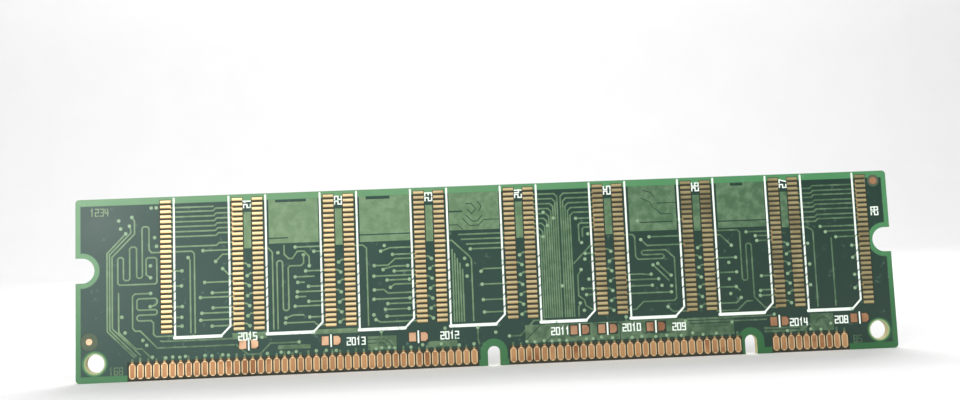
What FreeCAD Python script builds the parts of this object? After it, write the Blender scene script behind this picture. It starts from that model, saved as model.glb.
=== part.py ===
import FreeCAD, Part
import math
import os
from BOPTools import ShapeMerge

# A 168-contact memory module: a four-layer board with memory chips on one side only.
#
# Module frame, in millimetres: X runs along the board, Z up from the contact edge, Y through the board.
# The origin is at the middle of the contact edge, half way through the board.  The bare back faces -Y
# and the component side +Y.  Artwork is laid out from the left end of the board as seen from the back:
# board_x() turns a distance from that end into X.

os.makedirs("parts", exist_ok=True)
V = FreeCAD.Vector

# ---- driving dimensions -------------------------------------------------------------------------
LENGTH = 133.35
HEIGHT = 29.21
OVERRUN = 2.0
CORNER_RADIUS = 0.6

# layers, from the middle of the board outwards
CORE = 0.71
PLANE = 0.035
PREPREG = 0.21
COPPER = 0.035
PAD = 0.040
MASK = 0.055
MASK_RISE = 0.012
INK = 0.015
Y_CORE = CORE / 2
Y_PREPREG = Y_CORE + PLANE
Y_LAMINATE = Y_PREPREG + PREPREG
Y_MASK = Y_LAMINATE + MASK

# notches and holes
HOLE_RADIUS = 1.5
HOLE_INSET = 3.0
HOLE_MASK_RADIUS = 1.75
LATCH_Z = 17.78
LATCH_RADIUS = 2.0
LATCH_DEPTH = 3.0
KEY_WIDTH = 2.0
KEY_DEPTH = 3.1
KEY_CLEAR = 1.3
KEYS = (66.675, 108.855)
EDGE_BEVEL_HEIGHT = 0.30
EDGE_BEVEL_DEPTH = 0.12

# edge contacts: first contact of each group and how many it has
CONTACT_PITCH = 1.27
CONTACT_WIDTH = 1.02
CONTACT_LOW = 0.35
CONTACT_TOP = 2.75
CONTACT_GROUPS = ((8.89, 44), (69.85, 30), (113.03, 10))
CONTACT_WINDOW_TOP = 3.05
CONTACT_WINDOW_SIDE = 0.75
NECK_WIDTH = 0.35
NECK_OVERLAP = 0.1
NECK_TOPS = (3.35, 3.6, 3.45)

# memory chips, TSOP-II with 54 leads
CHIP_COUNT = 8
CHIP_FIRST = 20.1
CHIP_PITCH = 14.732
CHIP_Z = 18.0
CHIP_BODY = (10.16, 22.22)
CHIP_THICK = 1.00
CHIP_STANDOFF = 0.10
CHIP_SPAN = 11.76
LEADS_PER_SIDE = 27
LEAD_PITCH = 0.80
LEAD_WIDTH = 0.35
LEAD_THICK = 0.127
LEAD_FOOT = 0.50
LEAD_SLOPE = 0.12
CHIP_LEAD_INNER = 4.45
CHIP_DRAFT = 0.08
CHIP_DIMPLE = (0.55, 3.9, 9.9)
DIMPLE_DEPTH = 0.05
DIE = (7.6, 14.0)
DIE_THICK = 0.30
CHIP_PAD = (1.70, 0.45)
CHIP_PAD_OFFSET = 5.75
CHIP_EDGE_Z = 7.3

# serial eeprom, 8 leads
EEPROM_X = 9.0
EEPROM_Z = 24.8
EEPROM_BODY = (4.90, 3.90)
EEPROM_SPAN = 6.0
EEPROM_PITCH = 1.27
EEPROM_LEAD_WIDTH = 0.42
EEPROM_LEAD_FOOT = 0.65
EEPROM_LEAD_INNER = 1.45
EEPROM_DRAFT = 0.12
EEPROM_DIMPLE = (0.30, 1.2, 1.7)
EEPROM_DIE = (1.8, 2.4)
EEPROM_THICK = 1.40
EEPROM_STANDOFF = 0.15
EEPROM_PAD = (0.60, 1.50)
EEPROM_PAD_OFFSET = 2.7

# capacitors and resistor networks
CAPACITOR = (1.60, 0.80, 0.80)
CAPACITOR_CAP = 0.35
CAPACITOR_ROUND = 0.06
CAPACITOR_Z = 5.1
CAPACITOR_PAD = (1.10, 1.40)
CAPACITOR_PAD_OFFSET = 0.95
CAPACITOR_PAD_CUT = 0.35
CAPACITOR_CLEAR = 0.12
BACK_CAPACITORS = (27.35, 40.50, 54.55, 80.80, 85.35, 93.30, 113.80, 127.20)
NETWORK = (3.20, 1.60, 0.50)
NETWORK_PITCH = 0.80
NETWORK_TERMINAL = (0.45, 0.30)
NETWORK_OFFSETS = (-3.1, 2.5)
NETWORK_Z = 5.3
NETWORK_PAD = (0.50, 0.80)
NETWORK_PAD_OFFSET = 0.80
NETWORK_BENDS = (4.0, 3.3)
BODY_INSET = 0.02
JOINT_HALF = 0.38
NETWORK_JOINT_HALF = 0.20
JOINT_REACH = (0.15, 0.12)

# artwork
TRACE = 0.25
FINE_TRACE = 0.18
BEND_CUT = 0.26
SHARP_TURN = 60
VIA_DRILL = 0.15
VIA_BORE = 0.10
VIA_RING = 0.30
ANTIPAD = 0.36
VIA_TURNS = 4
PLANE_END_INSET = 0.8
PLANE_TOP_INSET = 1.1
PLANE_LOW = 3.0
PLANE_END_LOW = 1.0
PLANE_END_REACH = 7.6
PLANE_HOLE_RING = 1.9
MASK_MARGIN = 0.10
FIDUCIALS = ((2.1, 6.5, 0.50, 1.40), (131.2, 27.6, 0.60, 1.00))
SILK = 0.30
SILK_BAR = 0.50
OUTLINE_HALF = 4.4
OUTLINE_LOW = 6.6
OUTLINE_HIGH = 28.9
OUTLINE_CUT = 1.5
LEFT_BREAKS = (8.7, 10.9, 12.5, 13.9, 15.6, 17.3)
RIGHT_BREAKS = (9.4, 11.3, 12.9, 14.4, 16.1, 18.6)
BREAK_WIDTH = 0.14
TICK = 0.25
TICK_HALF = 0.9
FRONT_TICK_HALF = 0.7
FRONT_TICK_Z = 6.4
DIGIT = (0.50, 1.10)
DIGIT_PITCH = 0.78
DIGIT_STROKE = 0.20


# ---- geometry helpers ---------------------------------------------------------------------------
def board_x(distance):
    return distance - LENGTH / 2


def point(distance, z):
    return V(board_x(distance), 0, z)


def circle(distance, z, radius):
    return Part.Wire([Part.makeCircle(radius, point(distance, z), V(0, 1, 0))])


def disc(distance, z, radius):
    return Part.Face(circle(distance, z, radius))


def area(corners):
    """Flat face in the XZ plane through corners given as (distance, z)."""
    wire = Part.makePolygon([point(*corner) for corner in corners] + [point(*corners[0])])
    return Part.Face(wire)


def patch(x0, z0, x1, z1):
    return area([(x0, z0), (x0, z1), (x1, z1), (x1, z0)])


def sides(points, half):
    """The two rows of corners of a band of constant width along points, with mitred bends."""
    normals = []
    for (x0, z0), (x1, z1) in zip(points, points[1:]):
        run = math.hypot(x1 - x0, z1 - z0)
        normals.append(((z0 - z1) / run, (x1 - x0) / run))
    left, right = [], []
    for index, (x, z) in enumerate(points):
        before = normals[max(index - 1, 0)]
        after = normals[min(index, len(normals) - 1)]
        scale = half / (1 + before[0] * after[0] + before[1] * after[1])
        dx = (before[0] + after[0]) * scale
        dz = (before[1] + after[1]) * scale
        left.append((x + dx, z + dz))
        right.append((x - dx, z - dz))
    return left, right


def track(points, width=TRACE):
    """Copper track or printed stroke: a band along points with round ends."""
    half = width / 2
    left, right = sides(points, half)
    edges = []
    for row in (left, right):
        for a, b in zip(row, row[1:]):
            edges.append(Part.LineSegment(point(*a), point(*b)).toShape())
    for (x, z), (nx, nz), end in ((points[0], points[1], 0), (points[-1], points[-2], -1)):
        run = math.hypot(x - nx, z - nz)
        tip = (x + (x - nx) / run * half, z + (z - nz) / run * half)
        edges.append(Part.Arc(point(*left[end]), point(*tip), point(*right[end])).toShape())
    return Part.Face(Part.Wire(Part.__sortEdges__(edges)))


def eased(points):
    """The same path with each sharp bend cut into two gentler ones."""
    path = [points[0]]
    for before, corner, after in zip(points, points[1:], points[2:]):
        coming = V(corner[0] - before[0], corner[1] - before[1], 0)
        going = V(after[0] - corner[0], after[1] - corner[1], 0)
        if math.degrees(coming.getAngle(going)) < SHARP_TURN:
            path.append(corner)
            continue
        for run, sign in ((coming, -1), (going, 1)):
            share = sign * min(BEND_CUT / run.Length, 0.4)
            path.append((corner[0] + run.x * share, corner[1] + run.y * share))
    path.append(points[-1])
    return path


def join(faces):
    """Flat faces that meet or overlap become one; all of them face the same way."""
    merged = faces[0].fuse(faces[1:])
    return ShapeMerge.mergeShapes(merged.Faces).removeSplitter()


def layer(face, y0, y1):
    """Solids from y0 to y1 over a flat face."""
    shape = face.copy()
    shape.translate(V(0, y0, 0))
    solids = []
    for piece in shape.Faces:
        solids += piece.extrude(V(0, y1 - y0, 0)).Solids
    return Part.makeCompound(solids)


def with_holes(face, wires):
    return Part.makeFace([face.OuterWire] + wires, "Part::FaceMakerBullseye")


def save(name, shape):
    shape.exportStep("parts/" + name + ".step")


def box(x0, x1, y0, y1, z0, z1):
    return Part.makeBox(x1 - x0, y1 - y0, z1 - z0, V(x0, y0, z0))


# ---- artwork of the back, as seen from the back, in (distance from the left end, height) ---------
LEFT_END_TRACKS = [
    [(8.0, 23.5), (5.0, 20.4), (5.0, 8.0), (9.2, 3.8)],
    [(8.6, 24.7), (8.8, 24.1), (8.8, 23.6), (5.4, 20.2), (5.4, 8.2), (9.5, 4.0)],
    [(9.0, 26.1), (9.4, 25.5), (9.4, 23.4), (5.8, 19.8), (5.8, 8.4), (10.2, 4.1)],
    [(6.8, 14.0), (6.8, 7.8), (9.5, 5.1), (10.4, 5.1), (12.1, 3.4)],
    [(15.2, 20.3), (12.1, 20.3), (11.7, 20.8), (11.7, 24.5), (10.6, 24.5), (10.6, 16.3), (9.7, 16.3),
     (9.7, 21.3), (8.6, 21.3), (8.6, 16.0), (7.6, 16.0), (7.6, 19.7), (6.7, 19.7), (6.7, 15.3),
     (12.9, 15.3), (12.9, 19.5), (11.2, 19.5), (11.2, 16.8), (11.9, 16.3)],
    [(11.9, 13.8), (9.4, 13.8), (9.0, 13.4), (9.0, 8.4), (9.4, 7.9), (10.2, 7.9), (12.9, 5.1),
     (25.0, 5.1)],
    [(11.8, 11.7), (12.9, 12.0), (12.9, 13.0), (9.7, 13.0), (9.7, 11.2), (12.9, 11.2), (12.9, 10.4),
     (9.7, 10.4), (9.7, 9.5), (11.9, 9.5), (12.3, 9.1), (12.3, 7.3), (12.7, 6.9), (15.5, 6.9)],
    [(13.4, 6.2), (13.8, 6.1), (29.4, 6.1)],
]
LEFT_END_VIAS = [
    (9.0, 26.1), (6.9, 25.6), (8.6, 24.7), (7.2, 24.3), (8.0, 23.5), (12.1, 27.5), (12.9, 27.5),
    (12.6, 22.7), (12.9, 21.3), (11.9, 18.2), (11.9, 16.3), (11.9, 13.8), (11.8, 11.7), (7.3, 10.2),
    (7.8, 7.7), (10.6, 6.4), (11.2, 5.6), (12.1, 3.7),
]

# footprint 1: bus lines from the left column that step up on their way to the right one
BUS_1 = (26.7, 25.9, 25.1, 24.3, 23.5, 22.7, 21.1)
FOOTPRINT_1 = [
    [(15.2, 27.4), (22.0, 27.4)],
    [(15.2, 20.3), (18.5, 20.3), (18.9, 19.9), (18.9, 7.3)],
    [(17.9, 19.3), (18.2, 18.9), (18.2, 7.3)],
    [(20.3, 20.3), (25.1, 20.3)],
    [(22.3, 18.5), (23.4, 19.6), (25.1, 19.6)],
    [(23.4, 17.3), (24.3, 16.4), (25.1, 16.4)],
    [(20.5, 15.2), (25.1, 15.2)],
    [(21.7, 13.5), (25.1, 13.5)],
    [(19.8, 12.8), (25.1, 12.8)],
    [(20.0, 10.3), (25.1, 10.3)],
    [(21.8, 11.1), (25.1, 11.1)],
    [(19.8, 9.2), (25.1, 9.2)],
    [(21.6, 8.2), (25.1, 8.2)],
    [(15.2, 17.2), (16.9, 17.2)],
    [(15.2, 14.8), (16.8, 14.8)],
    [(15.2, 11.5), (16.9, 11.5)],
    [(15.2, 9.8), (16.8, 9.8)],
    [(15.2, 8.4), (16.8, 8.4)],
]
VIAS_1 = [
    (17.9, 19.3), (20.3, 20.3), (22.3, 18.5), (23.4, 17.3), (20.5, 15.2), (21.7, 13.5), (19.8, 12.8),
    (20.0, 10.3), (21.8, 11.1), (19.8, 9.2), (21.6, 8.2), (16.9, 17.2), (16.8, 14.8), (16.9, 11.5),
    (16.8, 9.8), (16.8, 8.4),
]

FOOTPRINT_2 = [
    [(29.9, 20.3), (30.8, 20.3), (31.4, 19.6), (31.4, 7.3)],
    [(32.1, 7.3), (32.1, 18.2), (33.0, 18.2), (33.0, 10.2), (33.9, 10.2), (33.9, 17.3), (36.0, 17.3),
     (36.4, 17.7), (36.4, 19.0)],
    [(33.3, 20.6), (33.3, 19.2), (34.0, 18.5), (34.6, 18.5), (35.4, 19.6), (36.5, 19.6), (37.3, 18.7),
     (37.3, 17.2)],
    [(35.1, 20.3), (39.9, 20.3)],
    [(38.1, 19.5), (39.9, 19.5)],
    [(36.7, 16.4), (39.9, 16.4)],
    [(35.0, 15.5), (38.0, 15.5)],
    [(35.4, 14.6), (36.4, 14.6)],
    [(37.1, 13.9), (39.9, 13.9)],
    [(35.3, 13.1), (39.9, 13.1)],
    [(35.2, 12.3), (36.6, 12.3)],
    [(37.1, 11.5), (39.9, 11.5)],
    [(34.9, 10.8), (39.9, 10.8)],
    [(33.4, 9.0), (34.5, 9.4), (36.2, 9.4)],
    [(37.2, 9.0), (39.9, 9.0)],
    [(33.3, 8.2), (37.9, 8.2), (38.4, 7.7), (39.9, 7.7)],
]
VIAS_2 = [
    (36.4, 19.0), (37.3, 17.2), (32.3, 19.5), (35.1, 20.3), (38.1, 19.5), (36.7, 16.4),
    (35.0, 15.5), (35.4, 14.6), (37.1, 13.9), (35.3, 13.1), (35.2, 12.3), (37.1, 11.5), (34.9, 10.8),
    (33.4, 9.0), (37.2, 9.0), (33.3, 8.2),
]

FOOTPRINT_3 = [
    [(44.7, 20.2), (46.0, 20.2), (46.6, 19.7), (46.6, 7.3)],
    [(48.9, 19.1), (50.4, 19.6), (54.6, 19.6)],
    [(50.8, 18.5), (54.6, 18.5)],
    [(47.8, 16.8), (50.0, 16.8), (51.2, 17.8), (54.6, 17.8)],
    [(49.2, 16.2), (51.0, 16.6), (53.2, 16.6)],
    [(51.0, 15.8), (54.6, 15.8)],
    [(47.7, 15.1), (54.6, 15.1)],
    [(49.8, 14.4), (53.4, 14.4)],
    [(50.3, 13.2), (51.0, 13.7), (54.6, 13.7)],
    [(47.7, 12.9), (49.2, 12.9), (49.9, 12.3), (54.6, 12.3)],
    [(47.6, 11.4), (53.4, 11.4)],
    [(49.8, 10.6), (54.6, 10.6)],
    [(49.4, 9.7), (53.2, 9.7)],
    [(49.6, 8.6), (54.6, 8.6)],
    [(47.8, 8.2), (48.5, 7.7), (54.6, 7.7)],
]
VIAS_3 = [
    (49.5, 20.0), (48.9, 19.1), (50.8, 18.5), (47.8, 16.8), (49.2, 16.1), (53.2, 16.6), (51.0, 15.8),
    (47.7, 15.1), (49.8, 14.4), (53.4, 14.4), (50.3, 13.2), (47.7, 12.9), (47.6, 11.4), (53.4, 11.4),
    (49.8, 10.6), (49.4, 9.7), (53.2, 9.7), (47.5, 8.9), (49.6, 8.6), (47.8, 8.1),
]

FOOTPRINT_4 = [
    [(59.4, 20.4), (60.5, 20.4), (63.3, 17.7), (63.6, 17.2), (63.6, 7.3)],
    [(63.5, 18.9), (69.3, 18.9)],
    [(62.9, 19.7), (69.3, 19.7)],
    [(62.1, 20.5), (69.3, 20.5)],
    [(61.7, 21.3), (69.3, 21.3)],
    [(65.1, 15.2), (65.5, 15.6), (69.3, 15.6)],
    [(65.2, 13.1), (69.3, 13.1)],
    [(65.3, 10.6), (69.3, 10.6)],
    [(65.4, 8.6), (69.3, 8.6)],
]
BUNDLE_4 = ((60.5, 18.9), (60.9, 18.2), (61.3, 17.4), (61.7, 16.6), (62.1, 15.6))
BUNDLE_LOW = 7.3
VIAS_4 = [
    (62.5, 17.4), (62.9, 16.3), (62.8, 14.5), (63.5, 18.9), (65.1, 15.2), (65.2, 13.1), (65.3, 10.6),
    (65.4, 8.6), (67.1, 5.3),
]

# footprint 5: two fans of bus lines share a trunk; each is (trunk, reach, top level, how many lines)
LEFT_FAN = (78.05, 74.1, 27.4, 9)
RIGHT_FAN = (78.6, 84.0, 27.4, 5)
FAN_PITCH = 0.37
FAN_BEND = 0.5
FOOTPRINT_5 = [
    [(81.0, 23.2), (84.0, 23.2)],
    [(81.4, 19.5), (81.4, 22.4), (84.0, 22.4)],
    [(82.0, 20.2), (82.0, 21.7), (84.0, 21.7)],
    [(84.0, 18.7), (83.2, 18.7), (80.4, 15.9)],
    [(81.5, 14.8), (80.9, 13.9), (80.9, 10.6), (81.8, 9.9), (82.0, 9.0), (83.0, 8.3), (84.0, 8.3)],
    [(81.1, 9.4), (80.8, 8.6), (80.8, 7.3)],
    [(82.3, 17.4), (84.0, 17.4)],
    [(81.6, 11.7), (84.0, 11.7)],
    [(82.2, 10.7), (84.0, 10.7)],
]
VIAS_5 = [
    (75.5, 20.4), (75.7, 24.4), (76.3, 22.2), (77.3, 23.4), (78.3, 12.3), (81.0, 23.2), (81.5, 14.8),
    (82.2, 16.5), (82.3, 17.4), (81.8, 19.2), (81.6, 11.7), (82.2, 10.7), (81.1, 9.4), (81.7, 8.2),
    (82.7, 13.2), (82.9, 20.6),
]

FOOTPRINT_6 = [
    [(91.2, 22.4), (98.8, 22.4)],
    [(88.9, 20.2), (90.2, 20.2), (90.6, 19.8), (90.6, 16.6), (91.0, 16.1), (95.3, 16.1), (95.3, 16.8),
     (91.6, 16.8), (91.6, 17.5), (95.6, 17.5), (97.0, 16.2), (97.0, 9.6), (96.6, 9.2), (91.5, 9.2),
     (90.2, 8.0), (88.9, 8.0)],
    [(93.0, 19.7), (98.8, 19.7)],
    [(91.6, 19.3), (92.6, 18.3), (98.8, 18.3)],
    [(94.2, 15.3), (96.3, 13.2)],
    [(93.6, 14.9), (95.9, 12.5)],
    [(88.9, 13.7), (91.4, 13.7), (93.0, 13.5)],
    [(88.9, 12.8), (94.2, 12.8)],
    [(88.9, 11.8), (93.1, 11.8)],
    [(88.9, 10.6), (96.2, 10.6)],
    [(95.5, 8.2), (96.4, 7.4), (98.8, 7.4)],
]
VIAS_6 = [
    (91.2, 22.4), (93.0, 19.7), (91.6, 19.3), (94.2, 15.3), (93.4, 15.1), (93.0, 13.6), (94.2, 12.8),
    (93.1, 11.8), (94.7, 11.7), (96.3, 11.6), (96.2, 10.6), (96.3, 13.3), (95.5, 8.2),
]

FOOTPRINT_7 = [
    [(103.6, 20.3), (107.7, 20.3), (108.1, 19.9), (108.1, 12.0), (109.0, 12.0), (109.0, 18.0),
     (109.9, 18.0), (109.9, 9.2), (111.6, 7.4), (113.5, 7.4)],
    [(109.5, 8.6), (108.6, 8.6), (107.0, 7.2), (103.6, 7.2)],
    [(103.6, 19.6), (104.8, 19.6), (106.6, 17.8)],
    [(103.6, 15.8), (107.2, 15.8)],
    [(103.6, 13.4), (107.2, 13.4)],
    [(103.6, 11.0), (107.0, 11.0), (107.6, 10.4)],
    [(103.6, 8.4), (106.9, 8.4), (107.7, 9.2)],
    [(109.2, 19.9), (113.5, 19.9)],
    [(110.7, 19.2), (113.5, 19.2)],
    [(110.9, 18.4), (113.5, 18.4)],
    [(111.3, 12.6), (113.5, 12.6)],
    [(111.0, 10.3), (113.5, 10.3)],
    [(110.9, 9.4), (113.5, 9.4)],
]
VIAS_7 = [
    (106.6, 17.8), (107.2, 15.8), (106.0, 15.0), (107.2, 13.4), (105.9, 12.3), (107.0, 11.0),
    (106.0, 9.9), (107.7, 9.2), (109.2, 19.9), (110.7, 19.2), (110.9, 18.4), (111.3, 12.6),
    (111.0, 10.2), (110.9, 9.4),
]

# footprint 8: bus lines as in footprint 1, and two long uprights
BUS_8 = (26.7, 25.9, 25.2, 24.3, 23.6, 22.8, 21.9, 21.2)
FOOTPRINT_8 = [
    [(118.3, 20.3), (119.4, 20.3), (120.4, 19.8), (120.4, 7.3)],
    [(121.7, 20.3), (128.2, 20.3)],
    [(122.5, 19.5), (128.2, 19.5)],
    [(123.4, 18.3), (123.4, 7.3)],
    [(124.2, 18.5), (128.2, 18.5)],
    [(126.8, 17.0), (128.2, 17.0)],
    [(126.8, 15.0), (127.4, 15.5), (128.2, 15.5)],
    [(126.9, 12.2), (128.2, 12.2)],
    [(126.8, 10.0), (127.4, 10.5), (128.2, 10.5)],
]
VIAS_8 = [
    (121.7, 20.3), (122.5, 19.4), (124.2, 18.5), (126.8, 17.0), (126.8, 15.0), (126.9, 12.2),
    (126.8, 10.0), (119.4, 17.6), (119.5, 14.2), (119.4, 10.8),
]

# below the footprints: bus lines, and short tracks over the contacts
LOWER_TRACKS = [
    [(25.4, 5.1), (27.2, 3.5), (29.2, 3.5), (30.8, 5.1), (35.0, 5.1)],
    [(69.3, 4.6), (71.1, 4.6), (73.4, 6.9), (75.2, 6.9)],
    [(98.6, 6.1), (112.8, 6.1)],
    [(99.0, 5.5), (111.6, 5.5)],
    [(99.6, 4.9), (105.5, 4.9), (105.9, 5.3)],
    [(57.6, 3.6), (58.9, 4.9), (58.9, 6.1)],
    [(47.2, 3.6), (48.6, 5.0), (48.6, 6.1)],
    [(64.4, 3.6), (64.2, 4.2), (64.2, 6.0)],
    [(88.0, 3.4), (88.0, 4.0), (88.5, 4.5), (88.5, 6.6)],
    [(117.6, 3.4), (118.6, 4.4), (122.1, 4.4)],
]
LOWER_VIAS = [
    (35.4, 5.1), (29.5, 6.1), (69.3, 4.6), (98.2, 5.8), (113.0, 6.25), (105.9, 5.3), (58.9, 6.3),
    (48.6, 6.2), (64.2, 6.2), (88.5, 6.85), (122.3, 4.4), (14.2, 3.5), (15.3, 3.6), (16.4, 3.5),
    (17.3, 3.6), (20.4, 3.6), (21.5, 3.5), (23.2, 3.6), (24.1, 3.5), (30.3, 3.5), (32.5, 3.6),
    (33.7, 3.5), (34.9, 3.6), (38.1, 3.6), (39.7, 3.6), (41.3, 3.5), (47.7, 3.5), (48.6, 3.6),
    (49.8, 3.6), (50.7, 3.5), (53.3, 3.5), (55.2, 3.8), (58.2, 3.8), (61.1, 3.5), (63.5, 3.6),
    (72.1, 3.6), (73.4, 3.5), (74.9, 3.6), (76.2, 3.5), (77.4, 3.6), (78.6, 3.5), (81.8, 3.6),
    (82.9, 3.6), (84.3, 3.8), (86.1, 3.6), (89.3, 3.5), (90.9, 3.6), (93.2, 3.5), (95.0, 3.6),
    (97.4, 3.5), (99.3, 3.8), (101.0, 3.5), (103.2, 3.6), (115.0, 3.5), (118.9, 3.6), (120.6, 3.5),
]

# copper areas, each (low left, high right)
POURS = [
    (30.9, 21.0, 38.9, 28.1), (45.6, 20.7, 53.8, 28.1), (60.2, 22.0, 68.4, 28.1), (89.9, 20.7, 97.7, 28.1),
    (104.6, 20.7, 112.6, 28.1), (24.8, 5.95, 30.3, 6.95), (32.0, 4.05, 37.2, 4.7), (37.4, 6.2, 45.0, 6.95),
    (46.4, 3.35, 51.0, 5.5), (56.0, 3.35, 60.8, 4.3), (71.9, 3.35, 106.2, 6.2),
    (111.2, 3.35, 118.3, 4.25), (118.9, 3.35, 122.8, 6.1),
]
# gaps in those areas: boxes, and lines given as tracks
SLOTS = [
    (32.0, 27.65, 37.0, 28.2), (46.7, 27.6, 50.6, 28.2), (107.0, 27.6, 109.1, 28.2),
    (60.2, 24.95, 62.4, 25.2), (45.5, 21.75, 53.9, 21.95), (30.8, 21.75, 34.0, 21.95),
    (91.6, 22.02, 97.0, 22.2), (104.5, 21.7, 112.7, 21.9),
]
SLOT_LINES = [
    [(60.0, 22.9), (61.5, 22.9), (62.4, 22.1)],
    [(62.4, 23.9), (63.5, 22.7), (64.9, 22.7), (65.9, 23.6), (68.5, 23.6)],
    [(62.9, 24.5), (64.0, 23.4), (64.8, 23.4), (65.6, 24.3)],
    [(63.2, 25.4), (63.9, 24.6), (64.6, 25.4), (63.9, 26.3), (63.0, 26.3)],
    [(64.9, 26.6), (65.5, 25.8), (65.1, 25.0)],
    [(92.3, 27.4), (93.6, 27.0), (94.2, 26.2)], [(92.0, 26.1), (93.4, 25.4), (93.9, 24.5)],
    [(94.6, 25.2), (97.8, 25.2)], [(94.2, 24.4), (95.2, 23.4), (96.8, 23.4)],
    [(74.6, 6.3), (72.0, 3.9)], [(75.2, 3.3), (77.4, 5.6)], [(79.2, 6.3), (79.2, 4.2), (80.0, 3.9)],
    [(82.9, 6.3), (84.2, 5.0), (84.2, 4.4)], [(83.4, 6.3), (83.9, 5.8)],
    [(86.9, 6.3), (87.4, 5.7), (87.4, 3.3)], [(89.2, 6.3), (91.4, 4.1), (96.0, 4.1), (98.4, 6.3)],
    [(98.6, 5.8), (106.3, 5.8)], [(98.9, 5.3), (106.3, 5.3)], [(99.4, 4.8), (105.4, 4.8)],
    [(46.3, 5.0), (49.2, 5.0), (50.6, 3.6)],
    [(46.3, 4.4), (48.8, 4.4), (49.4, 3.8)], [(111.1, 3.8), (117.2, 3.8)],
    [(119.6, 4.2), (120.1, 5.2), (121.0, 5.5), (121.9, 5.2), (122.3, 4.2)],
]
SLOT_LINE = 0.14

# numbers etched in the copper: layer marks and the numbers of the end contacts
COPPER_NUMBERS = (("1234", 2.4, 26.5), ("168", 5.3, 1.15), ("85", 126.0, 1.15))

# the bus lines of the first and last footprints
BUS_STEP = 0.4
BUS_DRIFT = 0.08

# between the footprints: a copper area at the top, then vias that each join a pad beside them
GAP_POUR = (20.4, 26.3)
GAP_WIDTH = 1.15
GAP_FIRST_LEAD = 18.0
GAP_RUNGS = 7
GAP_RUNG_PITCH = 1.6
GAP_STAGGER = 0.15
GAP_REACHES = (0.35, 0.95)


def bus(levels, x0, x1, bend):
    """Parallel lines that each step up, one bend a little further along than the next."""
    tracks = []
    for index, z in enumerate(levels):
        turn = bend + BUS_DRIFT * index
        tracks.append([(x0, z), (turn, z), (turn + BUS_STEP, z + BUS_STEP), (x1, z + BUS_STEP)])
    return tracks


def fan(shape, side):
    """Lines that leave a trunk one above the other, to one side, and run down beside each other."""
    trunk, reach, top, count = shape
    tracks = []
    for index in range(count):
        x = trunk + side * FAN_PITCH * index
        z = top - LEAD_PITCH * index
        tracks.append([(x, BUNDLE_LOW), (x, z - FAN_BEND), (x + side * FAN_BEND, z), (reach, z)])
    return tracks


def gap_centres():
    return [CHIP_FIRST + (index + 0.5) * CHIP_PITCH for index in range(CHIP_COUNT - 1)]


def chip_centres():
    return [CHIP_FIRST + index * CHIP_PITCH for index in range(CHIP_COUNT)]


def contact_places():
    places = []
    for first, count in CONTACT_GROUPS:
        places += [first + index * CONTACT_PITCH for index in range(count)]
    return places


def gap_rungs():
    """Vias between the columns of pads, each with the side of the pad that it joins and its level."""
    rungs = []
    for index, x in enumerate(gap_centres()):
        for rung in range(GAP_RUNGS):
            side = 1 if (rung + index) % 2 else -1
            rungs.append((x, side, GAP_FIRST_LEAD - GAP_RUNG_PITCH * rung))
    return rungs


def gap_vias():
    return [(x - side * GAP_STAGGER, level - LEAD_PITCH / 2) for x, side, level in gap_rungs()]


def gap_tracks():
    tracks = []
    for (x, side, level), start in zip(gap_rungs(), gap_vias()):
        tracks.append([start] + [(x + side * reach, level) for reach in GAP_REACHES])
    return tracks


def back_tracks():
    tracks = []
    groups = (LEFT_END_TRACKS, FOOTPRINT_1, FOOTPRINT_2, FOOTPRINT_3, FOOTPRINT_4, FOOTPRINT_5,
              FOOTPRINT_6, FOOTPRINT_7, FOOTPRINT_8, LOWER_TRACKS, gap_tracks(),
              bus(BUS_1, 15.2, 25.1, 22.0), bus(BUS_8, 118.3, 128.2, 120.4))
    for group in groups:
        tracks += group
    faces = [track(eased(points)) for points in tracks]
    faces += [track([(x, top), (x, BUNDLE_LOW)]) for x, top in BUNDLE_4]
    for points in fan(LEFT_FAN, -1) + fan(RIGHT_FAN, 1):
        faces.append(track(points))
    for text, x, z in COPPER_NUMBERS:
        faces += numeral_strokes(text, x, z, True, FINE_TRACE)
    return faces


def via_places():
    places = []
    groups = (LEFT_END_VIAS, VIAS_1, VIAS_2, VIAS_3, VIAS_4, VIAS_5, VIAS_6, VIAS_7, VIAS_8, LOWER_VIAS)
    for group in groups:
        places += group
    return places + gap_vias()


# ---- flat outlines ------------------------------------------------------------------------------
def latch_slot(distance_sign, margin=0.0):
    """Opening of one latch notch, grown by margin; distance_sign is -1 at the left end, 1 at the right."""
    radius = LATCH_RADIUS + margin
    centre = LATCH_DEPTH - LATCH_RADIUS
    end = 0.0 if distance_sign < 0 else LENGTH
    inner = end - distance_sign * centre
    outer = end + distance_sign * OVERRUN
    low, high = sorted((inner, outer))
    slot = patch(low, LATCH_Z - radius, high, LATCH_Z + radius)
    return [slot, disc(inner, LATCH_Z, radius)]


def key_slot(centre, margin=0.0):
    radius = KEY_WIDTH / 2 + margin
    top = KEY_DEPTH - KEY_WIDTH / 2
    return [patch(centre - radius, -OVERRUN, centre + radius, top), disc(centre, top, radius)]


def board_face():
    """Outline of the board with its notches, rounded at the corners."""
    whole = patch(0, 0, LENGTH, HEIGHT)
    cutters = latch_slot(-1) + latch_slot(1)
    for key in KEYS:
        cutters += key_slot(key)
    outline = whole.cut(cutters).Faces[0]
    return round_corners(outline)


def round_corners(outline):
    for x, dx in ((0, 1), (LENGTH, -1)):
        for z, dz in ((0, 1), (HEIGHT, -1)):
            r = CORNER_RADIUS
            square = patch(*sorted_box(x, z, x + dx * r, z + dz * r))
            spare = square.cut(disc(x + dx * r, z + dz * r, r))
            outline = outline.cut(spare).Faces[0]
    return outline


def sorted_box(x0, z0, x1, z1):
    return min(x0, x1), min(z0, z1), max(x0, x1), max(z0, z1)


def hole_places():
    return [(HOLE_INSET, HOLE_INSET), (LENGTH - HOLE_INSET, HOLE_INSET)]


def hole_wires(radius):
    return [circle(x, z, radius) for x, z in hole_places()]


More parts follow.
